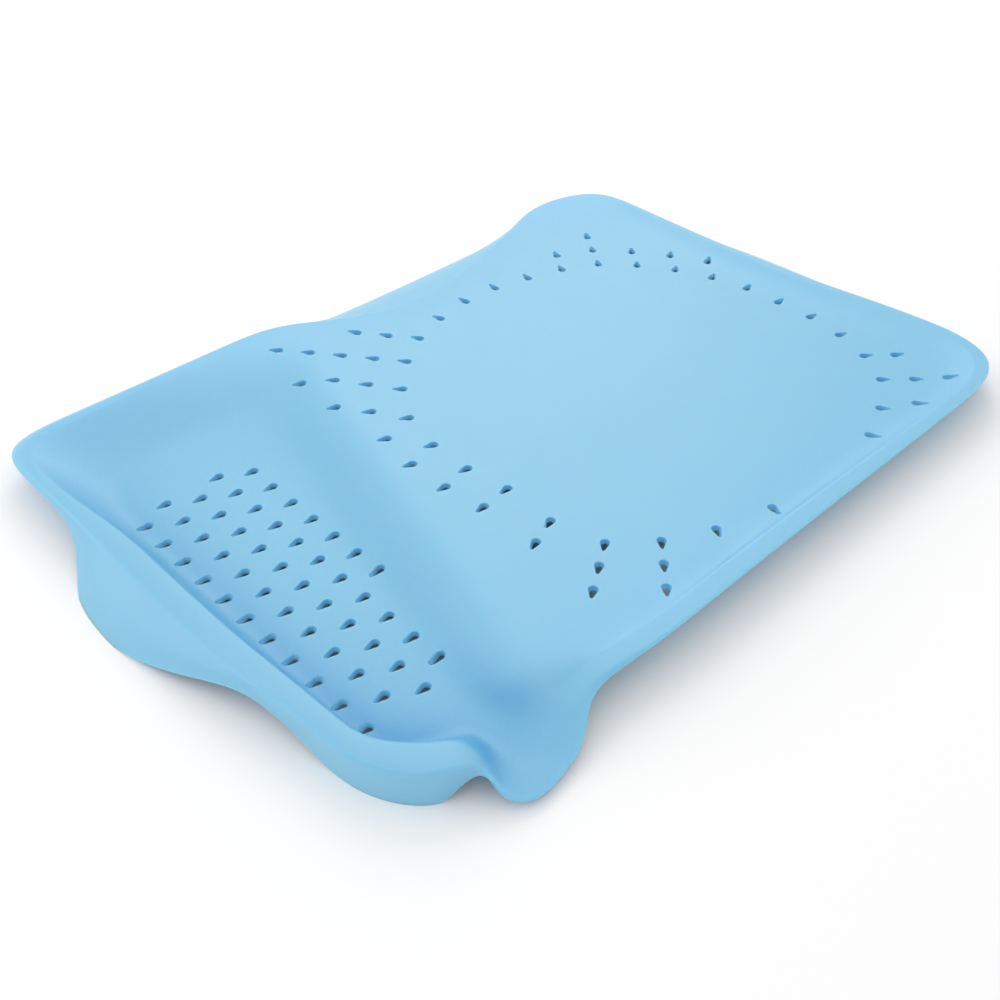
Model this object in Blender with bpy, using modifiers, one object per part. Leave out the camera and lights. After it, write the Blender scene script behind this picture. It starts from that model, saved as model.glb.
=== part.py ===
"""Dish drainer moulded in one piece: a plate area, a cutlery trough and a spout, on a lobed skirt.

X runs along the length, from the trough end (-X) to the far end (+X). Y runs across, from the
spout side (-Y) to the rear side (+Y). Z is up. Lengths are in metres.
"""
import math

import bmesh
import bpy
from mathutils import Vector

# Rim outline, seen from above
RIM_LENGTH = 0.419
RIM_WIDTH = 0.300
REAR_TROUGH_RADIUS = 0.017
FRONT_TROUGH_RADIUS = 0.034
FRONT_FAR_RADIUS = 0.034
REAR_FAR_RADIUS = 0.040

# Floor outline inside the rim, seen from above
TROUGH_END_FOOT = 0.018
FAR_END_FOOT = 0.026
REAR_FOOT = 0.036
FRONT_FOOT = 0.0157
REAR_TROUGH_FOOT_RADIUS = 0.036
FRONT_TROUGH_FOOT_RADIUS = 0.016
FAR_FOOT_RADIUS = 0.024
FOOT_SHIFT = 0.040

# Heights and the sheet
RIM_HEIGHT = 0.018
SHEET_THICKNESS = 0.0024
TROUGH_DEPTH = 0.0118
PLATE_DEPTH = 0.0045

# Rim band, skirt and apron
BAND_WIDTH = 0.0145
EDGE_REACH = 0.020
APRON_WIDTH = 0.030

# Drain holes of the plate area: squared rings of drops round a centre
DROP_LENGTH = 0.0071
DROP_WIDTH = 0.0044
DROP_SIDES = 6
RING_CENTRE_X_SHARE = 0.632
RING_CENTRE_Y_SHARE = 0.579
RING_RADIUS = 0.1242
RING_PITCH = 0.0173
RING_HOLE_PITCH = 0.0240
RING_COUNT = 5
HOLE_EDGE_MARGIN = 0.0035

# Drain holes of the trough: staggered columns
TROUGH_HOLE_COLUMNS = 5
TROUGH_COLUMN_PITCH = 0.0143
TROUGH_HOLE_PITCH = 0.0158
TROUGH_HOLE_END_GAP = 0.0082
TROUGH_HOLE_FRONT_GAP = 0.0416
TROUGH_HOLE_REAR_GAP = 0.040
TROUGH_HOLE_SLOPE_GAP = 0.0065
CUTTER_OVERRUN = 0.004

# Where each line of the cage meets the rear side and the front side, as shares of the length
COLUMN_SHARES = (
    (0.000, 0.000),
    (0.050, 0.050),
    (0.095, 0.086),
    (0.140, 0.100),
    (0.190, 0.126),
    (0.246, 0.156),
    (0.301, 0.186),
    (0.355, 0.212),
    (0.397, 0.240),
    (0.423, 0.276),
    (0.483, 0.326),
    (0.558, 0.415),
    (0.639, 0.523),
    (0.719, 0.638),
    (0.800, 0.750),
    (0.836, 0.846),
    (0.910, 0.926),
    (1.000, 1.000),
)
SLOPE_FOOT_COLUMN = 6
SLOPE_TOP_COLUMN = 7

# Where each line of the cage meets the two ends, as shares of the width from the rear
ROW_SHARES = (0.0, 0.080, 0.160, 0.240, 0.320, 0.405, 0.490, 0.580, 0.660, 0.730, 0.810, 0.890, 1.0)

# Stations along each side: place, band inset, edge reach, edge drop, band sink, band width, and
# the shift of the floor's edge along X and along Y
TROUGH_END_SHARES = (
    (0.00, 0.00, 0.34, 0.18, 0.0, 0.35, 0.0, 0.0),
    (0.17, 0.00, 0.10, 0.14, 0.0, 0.80, 0.0, 0.0),
    (0.23, 0.00, 0.04, 0.28, 0.0, 1.15, 0.0, 0.0),
    (0.31, 0.00, 0.66, 0.80, 0.0, 1.15, 0.0, 0.0),
    (0.39, 0.00, 1.42, 1.10, 0.0, 1.15, 0.0, 0.0),
    (0.48, 0.00, 1.40, 1.10, 0.0, 1.15, 0.0, 0.0),
    (0.60, 0.00, 0.54, 0.60, 0.0, 1.10, 0.0, 0.0),
    (0.68, 0.07, 0.00, 0.08, 0.0, 1.05, 0.0, 0.0),
    (0.75, 0.13, 0.00, 0.70, 0.0, 1.00, 0.0, 0.05),
    (0.83, 0.22, 0.00, 1.10, 0.0, 1.00, 0.0, 0.10),
    (0.91, 0.34, 0.00, 1.10, 0.0, 1.00, 0.05, 0.20),
    (1.00, 0.46, 0.00, 1.10, 0.0, 1.10, 0.18, 0.51),
)
FRONT_SHARES = (
    (0.000, 0.46, 0.00, 1.10, 0.00, 1.10, 0.18, 0.51),
    (0.050, 0.45, 0.00, 1.06, 0.00, 1.00, 0.03, 0.46),
    (0.086, 0.40, 0.00, 0.04, 0.05, 0.80, -0.05, 0.33),
    (0.100, 0.17, 0.42, 0.12, 0.85, 0.90, -0.03, 0.31),
    (0.126, 0.05, 0.56, 0.05, 1.10, 0.80, -0.25, 0.31),
    (0.156, 0.12, 0.54, 0.05, 1.10, 0.80, -0.41, 0.36),
    (0.186, 0.11, 0.42, 0.07, 0.82, 0.80, -0.51, 0.36),
    (0.212, 0.25, 0.24, 0.10, 0.42, 0.60, -0.49, 0.31),
    (0.240, 0.32, 0.12, 0.12, 0.12, 0.60, -0.34, 0.11),
    (0.276, 0.20, 0.06, 0.12, 0.00, 0.60, -0.14, 0.02),
    (0.326, 0.13, 0.02, 0.08, 0.00, 0.62, 0.0, 0.0),
    (1.000, 0.20, 0.02, 0.08, 0.00, 0.66, 0.0, 0.0),
)
FAR_END_SHARES = (
    (0.00, 0.08, 0.12, 0.24, 0.0, 0.30, 0.0, 0.0),
    (0.08, 0.42, 0.68, 0.70, 0.0, 0.28, 0.0, 0.0),
    (0.16, 0.54, 1.28, 1.10, 0.0, 0.25, -0.08, 0.0),
    (0.30, 0.54, 1.28, 1.10, 0.0, 0.25, -0.08, 0.0),
    (0.42, 0.48, 0.74, 0.40, 0.0, 0.25, -0.06, 0.0),
    (0.58, 0.34, 0.55, 0.40, 0.0, 0.25, -0.03, 0.0),
    (0.70, 0.14, 0.76, 1.10, 0.0, 0.30, 0.0, 0.0),
    (0.84, 0.00, 0.50, 1.10, 0.0, 0.30, 0.0, 0.0),
    (1.00, 0.02, 0.02, 0.12, 0.0, 0.60, 0.0, 0.0),
)
REAR_SHARES = (
    (0.000, 0.00, 0.34, 0.18, 0.0, 0.35, 0.0, 0.0),
    (0.355, 0.00, 0.12, 0.12, 0.0, 0.30, 0.0, 0.0),
    (0.397, 0.16, 0.22, 0.26, 0.0, 0.25, 0.0, 0.0),
    (0.423, 0.50, 0.69, 0.60, 0.0, 0.15, 0.0, -0.10),
    (0.483, 0.95, 1.28, 0.56, 0.0, 0.10, 0.0, -0.25),
    (0.558, 1.20, 1.62, 0.56, 0.0, 0.10, 0.0, -0.35),
    (0.639, 1.07, 1.43, 0.56, 0.0, 0.10, 0.0, -0.30),
    (0.719, 0.73, 0.93, 0.56, 0.0, 0.10, 0.0, -0.15),
    (0.800, 0.40, 0.48, 0.64, 0.0, 0.20, 0.0, 0.0),
    (0.836, 0.00, 0.04, 0.10, 0.0, 0.30, 0.0, 0.0),
    (1.000, 0.00, 0.05, 0.12, 0.0, 0.30, 0.0, 0.0),
)

# Depth of the trough near the rear side, row by row, where it rises towards the plate area
TROUGH_DEPTH_SHARES = (
    (1.00, 1.00, 1.00, 0.95, 0.80, 0.55, 0.25),
    (1.00, 1.00, 1.00, 1.00, 0.95, 0.85, 0.60),
    (1.00, 1.00, 1.00, 1.00, 1.00, 1.00, 0.85),
)
THROAT_DEPTH_SHARE = 1.06

# How the skirt swells between the band and the free edge, and how hard the band's lines are
SKIRT_MID_REACH_SHARE = 0.55
SKIRT_MID_DROP_SHARE = 0.42
BAND_CREASE_SHARES = (0.70, 0.40)

# Shape of the hole rings: heading as a share of a turn from +X, radius, pitch, number of rings
RING_SHAPE_SHARES = (
    (0.000, 0.93, 0.90, 1),
    (0.129, 0.99, 0.95, 2),
    (0.149, 1.00, 1.00, 3),
    (0.204, 0.97, 0.95, 1),
    (0.304, 0.99, 0.95, 2),
    (0.329, 1.00, 0.97, 3),
    (0.357, 1.00, 1.00, 5),
    (0.384, 1.00, 1.00, 5),
    (0.418, 1.00, 0.95, 2),
    (0.448, 0.97, 0.97, 2),
    (0.516, 0.90, 0.97, 2),
    (0.557, 0.975, 0.90, 2),
    (0.591, 1.02, 0.86, 3),
    (0.622, 0.98, 0.84, 3),
    (0.656, 0.93, 0.79, 2),
    (0.699, 0.885, 0.79, 2),
    (0.779, 0.88, 0.90, 1),
    (0.857, 0.95, 1.00, 2),
    (0.883, 0.98, 1.00, 3),
    (0.904, 0.98, 0.95, 2),
    (1.000, 0.93, 0.90, 1),
)
RING_CORNER_SHARES = (0.149, 0.357, 0.519, 0.557, 0.591, 0.622, 0.656, 0.699, 0.779, 0.883)

# Finish
PLASTIC_COLOUR = (0.27, 0.60, 0.83, 1)
PLASTIC_ROUGHNESS = 0.42
NOT_METAL = 0

COLUMNS = len(COLUMN_SHARES) - 1
ROWS = len(ROW_SHARES) - 1


def between(stations, place):
    """Values of a station table at a place, run straight between the two nearest stations."""
    for near, far in zip(stations, stations[1:]):
        if place <= far[0]:
            blend = (place - near[0]) / (far[0] - near[0])
            return [a + (b - a) * blend for a, b in zip(near[1:], far[1:])]
    return list(stations[-1][1:])


def rounded(point, low, high, radii):
    """Moves a point of a rectangle's border onto its rounded corner."""
    for x_side, y_side, radius in radii:
        corner = Vector((low.x if x_side < 0 else high.x, low.y if y_side < 0 else high.y))
        centre = corner - radius * Vector((x_side, y_side))
        arm = point - centre
        if arm.x * x_side > 0 and arm.y * y_side > 0:
            return centre + radius * arm.normalized()
    return point


def border_point(low, high, radii, column, row):
    """The place of a border station of the cage on a rounded rectangle."""
    rear_share, front_share = COLUMN_SHARES[column]
    across = ROW_SHARES[row]
    along = rear_share + (front_share - rear_share) * across
    point = Vector((low.x + along * (high.x - low.x), high.y - across * (high.y - low.y)))
    return rounded(point, low, high, radii)


def station_values(column, row):
    """The side tables' values at a border place of the cage."""
    if column == 0:
        return between(TROUGH_END_SHARES, ROW_SHARES[row])
    if column == COLUMNS:
        return between(FAR_END_SHARES, ROW_SHARES[row])
    if row == 0:
        return between(REAR_SHARES, COLUMN_SHARES[column][0])
    return between(FRONT_SHARES, COLUMN_SHARES[column][1])


def rim_point(column, row):
    """The rim's outline at a border station."""
    half = Vector((RIM_LENGTH / 2, RIM_WIDTH / 2))
    radii = (
        (-1, 1, REAR_TROUGH_RADIUS),
        (-1, -1, FRONT_TROUGH_RADIUS),
        (1, -1, FRONT_FAR_RADIUS),
        (1, 1, REAR_FAR_RADIUS),
    )
    return border_point(-half, half, radii, column, row)


def foot_point(column, row):
    """The floor's outline at a border station."""
    low = Vector((TROUGH_END_FOOT - RIM_LENGTH / 2, FRONT_FOOT - RIM_WIDTH / 2))
    high = Vector((RIM_LENGTH / 2 - FAR_END_FOOT, RIM_WIDTH / 2 - REAR_FOOT))
    radii = (
        (-1, 1, REAR_TROUGH_FOOT_RADIUS),
        (-1, -1, FRONT_TROUGH_FOOT_RADIUS),
        (1, -1, FAR_FOOT_RADIUS),
        (1, 1, FAR_FOOT_RADIUS),
    )
    shift = Vector(station_values(column, row)[-2:])
    return border_point(low, high, radii, column, row) + shift * FOOT_SHIFT


def floor_height(column, row):
    """Height of the floor: the sunk trough, the slope up to the plate area, and its gentle fall."""
    if column <= SLOPE_FOOT_COLUMN:
        depth_share = 1.0
        if row < len(TROUGH_DEPTH_SHARES):
            depth_share = TROUGH_DEPTH_SHARES[row][column]
        if row == ROWS:
            depth_share = THROAT_DEPTH_SHARE
        return RIM_HEIGHT - TROUGH_DEPTH * depth_share
    fall_share = (column - SLOPE_TOP_COLUMN) / (COLUMNS - SLOPE_TOP_COLUMN)
    return RIM_HEIGHT - PLATE_DEPTH * fall_share


def ring_points(column, row):
    """The rim's lines at a border station, from the floor's edge out to the sheet's free edge."""
    inset, reach, drop, sink, band = station_values(column, row)[:5]
    outline = rim_point(column, row)
    foot = foot_point(column, row)
    inward = (foot - outline).normalized()
    band_outer = outline + inward * inset * APRON_WIDTH
    band_inner = band_outer + inward * band * BAND_WIDTH
    edge = band_outer - inward * reach * EDGE_REACH
    skirt = band_outer.lerp(edge, SKIRT_MID_REACH_SHARE)
    band_height = RIM_HEIGHT - sink * TROUGH_DEPTH
    fall = drop * RIM_HEIGHT
    return (
        foot.to_3d() + Vector((0, 0, floor_height(column, row))),
        band_inner.to_3d() + Vector((0, 0, band_height)),
        band_outer.to_3d() + Vector((0, 0, band_height)),
        skirt.to_3d() + Vector((0, 0, band_height - fall * SKIRT_MID_DROP_SHARE)),
        edge.to_3d() + Vector((0, 0, band_height - fall)),
    )


def floor_point(column, row):
    """A place on the floor, spread evenly between its four sides."""
    across = ROW_SHARES[row]
    rear_share, front_share = COLUMN_SHARES[column]
    along = rear_share + (front_share - rear_share) * across
    ends = foot_point(0, row).lerp(foot_point(COLUMNS, row), along)
    sides = foot_point(column, 0).lerp(foot_point(column, ROWS), across)
    rear_corners = foot_point(0, 0).lerp(foot_point(COLUMNS, 0), along)
    front_corners = foot_point(0, ROWS).lerp(foot_point(COLUMNS, ROWS), along)
    place = ends + sides - rear_corners.lerp(front_corners, across)
    return place.to_3d() + Vector((0, 0, floor_height(column, row)))


def is_border(column, row):
    return column in (0, COLUMNS) or row in (0, ROWS)


def tray_cage():
    """The coarse cage: a grid for the floor, with its border drawn out four times for the rim."""
    bm = bmesh.new()
    bmesh.ops.create_grid(bm, x_segments=COLUMNS, y_segments=ROWS, size=1)
    station = bm.verts.layers.int.new("station")
    crease = bm.edges.layers.float.new("crease_edge")
    places = {}
    for vert in bm.verts:
        column = round((vert.co.x + 1) / 2 * COLUMNS)
        row = round((1 - vert.co.y) / 2 * ROWS)
        vert[station] = column * len(ROW_SHARES) + row
        places[vert[station]] = (column, row)
    for vert in bm.verts:
        column, row = places[vert[station]]
        if is_border(column, row):
            vert.co = ring_points(column, row)[0]
        else:
            vert.co = floor_point(column, row)
    border = [edge for edge in bm.edges if edge.is_boundary]
    for line in range(1, len(ring_points(0, 0))):
        drawn = bmesh.ops.extrude_edge_only(bm, edges=border)["geom"]
        border = [item for item in drawn if isinstance(item, bmesh.types.BMEdge) and item.is_boundary]
        for vert in {vert for edge in border for vert in edge.verts}:
            vert.co = ring_points(*places[vert[station]])[line]
        if line <= len(BAND_CREASE_SHARES):
            for edge in border:
                sink = max(station_values(*places[vert[station]])[3] for vert in edge.verts)
                edge[crease] = BAND_CREASE_SHARES[line - 1] * max(0, 1 - sink)
    bmesh.ops.recalc_face_normals(bm, faces=bm.faces)
    if sum(face.normal.z * face.calc_area() for face in bm.faces) < 0:
        bmesh.ops.reverse_faces(bm, faces=bm.faces)
    mesh = bpy.data.meshes.new("drainer_tray")
    bm.to_mesh(mesh)
    bm.free()
    return mesh


def column_line(column, y):
    """Where a line of the cage crosses the floor, at a distance y from the middle."""
    rear = foot_point(column, 0)
    front = foot_point(column, ROWS)
    return rear.lerp(front, (rear.y - y) / (rear.y - front.y)).x


def plate_holes():
    """Places and headings of the plate area's drain holes, evenly filled in between ring corners."""
    centre = Vector((RIM_LENGTH * (RING_CENTRE_X_SHARE - 0.5), RIM_WIDTH * (0.5 - RING_CENTRE_Y_SHARE)))
    ends = RING_CORNER_SHARES[1:] + (RING_CORNER_SHARES[0] + 1,)
    holes = []
    for ring in range(RING_COUNT):
        for start, end in zip(RING_CORNER_SHARES, ends):
            run = (end - start) * math.tau * (RING_RADIUS + ring * RING_PITCH)
            steps = max(1, round(run / RING_HOLE_PITCH))
            for step in range(steps):
                heading = (start + (end - start) * step / steps) % 1
                radius, pitch, rings = between(RING_SHAPE_SHARES, heading)
                reach = radius * RING_RADIUS + ring * pitch * RING_PITCH
                angle = heading * math.tau
                place = centre + reach * Vector((math.cos(angle), math.sin(angle)))
                if ring < round(rings) and on_plate_floor(place):
                    holes.append((place, angle))
    return holes


def on_plate_floor(place):
    """True where a drain hole fits on the plate area, clear of the rim and of the trough."""
    near_edge = column_line(SLOPE_FOOT_COLUMN, place.y) + HOLE_EDGE_MARGIN
    far_edge = RIM_LENGTH / 2 - FAR_END_FOOT - HOLE_EDGE_MARGIN
    front_edge = -RIM_WIDTH / 2 + FRONT_FOOT + HOLE_EDGE_MARGIN
    inset = between(REAR_SHARES, place.x / RIM_LENGTH + 0.5)[0]
    rear_edge = RIM_WIDTH / 2 - inset * APRON_WIDTH - DROP_LENGTH - HOLE_EDGE_MARGIN
    return near_edge < place.x < far_edge and front_edge < place.y < rear_edge


def trough_holes():
    """Places and headings of the trough's drain holes: staggered columns along the end wall."""
    front = -RIM_WIDTH / 2 + FRONT_FOOT + TROUGH_HOLE_FRONT_GAP
    rear = RIM_WIDTH / 2 - REAR_FOOT - TROUGH_HOLE_REAR_GAP
    holes = []
    for column in range(TROUGH_HOLE_COLUMNS):
        x = TROUGH_END_FOOT - RIM_LENGTH / 2 + TROUGH_HOLE_END_GAP + column * TROUGH_COLUMN_PITCH
        y = front + (column % 2) * TROUGH_HOLE_PITCH / 2
        while y < rear:
            if x < column_line(SLOPE_FOOT_COLUMN, y) - TROUGH_HOLE_SLOPE_GAP:
                holes.append((Vector((x, y)), math.pi))
            y += TROUGH_HOLE_PITCH
    return holes


def drop_cutter(bm, place, heading):
    """One drop-shaped prism through the sheet, its point towards the heading."""
    made = bmesh.ops.create_cone(
        bm,
        cap_ends=True,
        segments=DROP_SIDES,
        radius1=DROP_WIDTH / 2,
        radius2=DROP_WIDTH / 2,
        depth=RIM_HEIGHT + 2 * CUTTER_OVERRUN,
    )["verts"]
    point = max(vert.co.y for vert in made) - DROP_WIDTH / DROP_SIDES ** 2
    for vert in made:
        if vert.co.y > point:
            vert.co.y = DROP_LENGTH - DROP_WIDTH / 2
    turn = heading - math.pi / 2
    for vert in made:
        x, y = vert.co.x, vert.co.y
        vert.co.x = place.x + x * math.cos(turn) - y * math.sin(turn)
        vert.co.y = place.y + x * math.sin(turn) + y * math.cos(turn)
        vert.co.z += RIM_HEIGHT / 2


def hole_cutters():
    bm = bmesh.new()
    for place, heading in plate_holes() + trough_holes():
        drop_cutter(bm, place, heading)
    mesh = bpy.data.meshes.new("drain_hole_cutters")
    bm.to_mesh(mesh)
    bm.free()
    return mesh


def ground_cutter():
    """A block under the ground that trims the skirt's lobes to flat feet."""
    bm = bmesh.new()
    bmesh.ops.create_cube(bm, size=1)
    margin = 2 * (EDGE_REACH + CUTTER_OVERRUN)
    size = Vector((RIM_LENGTH + margin, RIM_WIDTH + margin, RIM_HEIGHT))
    for vert in bm.verts:
        vert.co = Vector((vert.co.x * size.x, vert.co.y * size.y, (vert.co.z - 0.5) * size.z))
    mesh = bpy.data.meshes.new("ground_cutter")
    bm.to_mesh(mesh)
    bm.free()
    return mesh


def new_collection(name):
    collection = bpy.data.collections.new(name)
    bpy.context.scene.collection.children.link(collection)
    return collection


def add_object(name, mesh, collection, parent):
    thing = bpy.data.objects.new(name, mesh)
    thing.parent = parent
    collection.objects.link(thing)
    return thing


def blue_plastic():
    material = bpy.data.materials.new("sky_blue_plastic")
    material.use_nodes = True
    shader = material.node_tree.nodes["Principled BSDF"]
    shader.inputs["Base Color"].default_value = PLASTIC_COLOUR
    shader.inputs["Roughness"].default_value = PLASTIC_ROUGHNESS
    shader.inputs["Metallic"].default_value = NOT_METAL
    return material


def cut_with(tray, cutter, name):
    cutter.hide_render = True
    cutter.display_type = "WIRE"
    cut = tray.modifiers.new(name, "BOOLEAN")
    cut.operation = "DIFFERENCE"
    cut.solver = "EXACT"
    cut.object = cutter


def set_on_origin(frame, tray):
    """Slides everything so that the finished tray's box is centred over the origin."""
    bpy.context.view_layer.update()
    shaped = tray.evaluated_get(bpy.context.evaluated_depsgraph_get())
    corners = [vert.co for vert in shaped.data.vertices]
    for axis in (0, 1):
        middle = (min(co[axis] for co in corners) + max(co[axis] for co in corners)) / 2
        frame.location[axis] = -middle
    bpy.context.view_layer.update()


def main():
    for thing in list(bpy.data.objects):
        bpy.data.objects.remove(thing, do_unlink=True)
    pieces = new_collection("dish_drainer")
    cutters = new_collection("cutters")
    frame = add_object("drainer_frame", None, pieces, None)

    tray = add_object("drainer_tray", tray_cage(), pieces, frame)
    tray.data.materials.append(blue_plastic())
    smooth = tray.modifiers.new("soft_form", "SUBSURF")
    smooth.levels = 1
    smooth.render_levels = 1
    sheet = tray.modifiers.new("sheet", "SOLIDIFY")
    sheet.thickness = SHEET_THICKNESS
    sheet.offset = -1
    cut_with(tray, add_object("drain_hole_cutters", hole_cutters(), cutters, frame), "drain_holes")
    cut_with(tray, add_object("ground_cutter", ground_cutter(), cutters, frame), "flat_feet")
    tray.data.shade_smooth()
    set_on_origin(frame, tray)


main()
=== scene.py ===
"""A one-piece dish drainer on a pale floor, laid out as a Blender add-on and run as a script.

X runs along the drainer's length, from the trough end (-X) to the far end (+X). Y runs across,
from the spout side (-Y) to the rear side (+Y). Z is up. Lengths are in metres.
"""

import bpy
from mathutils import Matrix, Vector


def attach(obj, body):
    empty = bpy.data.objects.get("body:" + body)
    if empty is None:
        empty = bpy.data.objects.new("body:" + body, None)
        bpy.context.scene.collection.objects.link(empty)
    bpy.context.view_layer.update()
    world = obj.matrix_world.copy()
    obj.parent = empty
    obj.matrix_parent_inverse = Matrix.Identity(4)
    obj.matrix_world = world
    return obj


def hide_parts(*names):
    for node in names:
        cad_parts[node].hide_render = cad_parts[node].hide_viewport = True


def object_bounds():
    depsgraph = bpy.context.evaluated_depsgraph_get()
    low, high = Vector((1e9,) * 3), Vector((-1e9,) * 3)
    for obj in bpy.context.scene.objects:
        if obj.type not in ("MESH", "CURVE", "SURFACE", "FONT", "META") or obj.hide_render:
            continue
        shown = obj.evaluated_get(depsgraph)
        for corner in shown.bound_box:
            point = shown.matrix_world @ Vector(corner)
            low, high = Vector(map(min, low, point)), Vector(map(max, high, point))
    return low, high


bl_info = {
    "name": "Dish Drainer",
    "version": (1, 0, 0),
    "blender": (4, 5, 0),
    "location": "3D Viewport > Sidebar > Drainer",
    "description": "Builds a moulded dish drainer with a sunk trough and a spout, and a studio for it",
    "category": "Add Mesh",
}

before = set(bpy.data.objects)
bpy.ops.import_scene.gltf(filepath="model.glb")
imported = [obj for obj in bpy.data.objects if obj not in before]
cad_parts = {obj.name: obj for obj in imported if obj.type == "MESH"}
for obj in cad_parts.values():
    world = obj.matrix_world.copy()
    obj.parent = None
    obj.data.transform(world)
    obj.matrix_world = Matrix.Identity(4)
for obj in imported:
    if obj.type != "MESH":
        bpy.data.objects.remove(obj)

import math
from collections import namedtuple

import bmesh
import bpy
from bpy.props import FloatProperty, FloatVectorProperty, IntProperty, PointerProperty
from bpy.types import Operator, Panel, PropertyGroup
from mathutils import Matrix, Vector
from mathutils.bvhtree import BVHTree

CAD_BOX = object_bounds()
CAD_NODE = "drainer_tray"

# Where each line of the cage meets the rear side and the front side, as shares of the length
COLUMN_SHARES = (
    (0.000, 0.000),
    (0.050, 0.050),
    (0.095, 0.086),
    (0.140, 0.100),
    (0.190, 0.126),
    (0.246, 0.156),
    (0.301, 0.186),
    (0.355, 0.212),
    (0.397, 0.240),
    (0.423, 0.276),
    (0.483, 0.326),
    (0.558, 0.415),
    (0.639, 0.523),
    (0.719, 0.638),
    (0.800, 0.750),
    (0.836, 0.846),
    (0.910, 0.926),
    (1.000, 1.000),
)

# Lines of the cage that the slope rises between
SLOPE_FOOT_COLUMN = 6
SLOPE_TOP_COLUMN = 7

# Where each line of the cage meets the two ends, as shares of the width from the rear
ROW_SHARES = (0.0, 0.080, 0.160, 0.240, 0.320, 0.405, 0.490, 0.580, 0.660, 0.730, 0.810, 0.890, 1.0)

# Shape of the rim at a station, as shares of its sizes: band inset, edge reach, edge drop, band sink,
# band width, and the shift of the floor's edge along X and along Y
Station = namedtuple("Station", "inset reach drop sink band shift_x shift_y")

# Stations along each side: place, then the shape there
TROUGH_END_SHARES = (
    (0.00, 0.00, 0.34, 0.18, 0.0, 0.35, 0.0, 0.0),
    (0.17, 0.00, 0.10, 0.14, 0.0, 0.80, 0.0, 0.0),
    (0.23, 0.00, 0.04, 0.28, 0.0, 1.15, 0.0, 0.0),
    (0.31, 0.00, 0.66, 0.80, 0.0, 1.15, 0.0, 0.0),
    (0.39, 0.00, 1.42, 1.10, 0.0, 1.00, 0.0, 0.0),
    (0.48, 0.00, 1.40, 1.10, 0.0, 0.92, 0.0, 0.0),
    (0.60, 0.00, 0.54, 0.60, 0.0, 0.84, 0.0, 0.0),
    (0.68, 0.07, 0.00, 0.08, 0.0, 0.80, 0.0, 0.0),
    (0.75, 0.13, 0.00, 0.70, 0.0, 0.78, 0.0, 0.05),
    (0.83, 0.22, 0.00, 1.10, 0.0, 0.80, 0.0, 0.10),
    (0.91, 0.34, 0.00, 1.10, 0.0, 0.86, 0.05, 0.20),
    (1.00, 0.46, 0.00, 1.10, 0.0, 1.10, 0.18, 0.51),
)
FRONT_SHARES = (
    (0.000, 0.46, 0.00, 1.10, 0.00, 1.10, 0.18, 0.51),
    (0.050, 0.45, 0.00, 1.06, 0.00, 1.00, 0.03, 0.46),
    (0.086, 0.40, 0.00, 0.04, 0.05, 0.80, -0.05, 0.33),
    (0.100, 0.17, 0.48, 0.12, 0.85, 0.90, -0.03, 0.31),
    (0.126, 0.05, 0.56, 0.05, 1.10, 0.80, -0.25, 0.31),
    (0.156, 0.12, 0.54, 0.05, 1.10, 0.80, -0.41, 0.36),
    (0.186, 0.11, 0.42, 0.07, 0.82, 0.80, -0.51, 0.36),
    (0.212, 0.25, 0.24, 0.10, 0.42, 0.60, -0.49, 0.31),
    (0.240, 0.32, 0.12, 0.12, 0.12, 0.60, -0.34, 0.11),
    (0.276, 0.20, 0.06, 0.12, 0.00, 0.60, -0.14, 0.02),
    (0.326, 0.13, 0.02, 0.08, 0.00, 0.62, 0.0, 0.0),
    (1.000, 0.20, 0.02, 0.08, 0.00, 0.66, 0.0, 0.0),
)
FAR_END_SHARES = (
    (0.00, 0.08, 0.12, 0.24, 0.0, 0.30, 0.0, 0.0),
    (0.08, 0.50, 0.68, 0.70, 0.0, 0.28, 0.0, 0.0),
    (0.16, 0.58, 1.32, 1.10, 0.0, 0.25, -0.08, 0.0),
    (0.30, 0.54, 1.28, 1.10, 0.0, 0.25, -0.08, 0.0),
    (0.42, 0.48, 0.74, 0.40, 0.0, 0.25, -0.06, 0.0),
    (0.58, 0.34, 0.55, 0.40, 0.0, 0.25, -0.03, 0.0),
    (0.70, 0.14, 0.76, 1.10, 0.0, 0.30, 0.0, 0.0),
    (0.84, 0.00, 0.50, 1.10, 0.0, 0.30, 0.0, 0.0),
    (1.00, 0.02, 0.02, 0.12, 0.0, 0.60, 0.0, 0.0),
)
REAR_SHARES = (
    (0.000, 0.00, 0.34, 0.18, 0.0, 0.35, 0.0, 0.0),
    (0.355, 0.00, 0.13, 0.12, 0.0, 0.30, 0.0, 0.0),
    (0.397, 0.24, 0.22, 0.26, 0.0, 0.25, 0.0, 0.0),
    (0.423, 0.50, 0.69, 0.60, 0.0, 0.15, 0.0, -0.10),
    (0.483, 0.95, 1.28, 0.56, 0.0, 0.10, 0.0, -0.25),
    (0.558, 1.20, 1.62, 0.56, 0.0, 0.10, 0.0, -0.35),
    (0.639, 1.07, 1.43, 0.56, 0.0, 0.10, 0.0, -0.30),
    (0.719, 0.73, 0.93, 0.56, 0.0, 0.10, 0.0, -0.15),
    (0.800, 0.40, 0.48, 0.64, 0.0, 0.20, 0.0, 0.0),
    (0.836, 0.00, 0.04, 0.10, 0.0, 0.30, 0.0, 0.0),
    (1.000, 0.00, 0.05, 0.12, 0.0, 0.30, 0.0, 0.0),
)

# Depth of the trough near the rear side, row by row, where it rises towards the upper floor
TROUGH_DEPTH_SHARES = (
    (1.00, 1.00, 1.00, 0.95, 0.80, 0.55, 0.25),
    (1.00, 1.00, 1.00, 1.00, 0.95, 0.85, 0.60),
    (1.00, 1.00, 1.00, 1.00, 1.00, 1.00, 0.85),
)
THROAT_DEPTH_SHARE = 1.06

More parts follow.
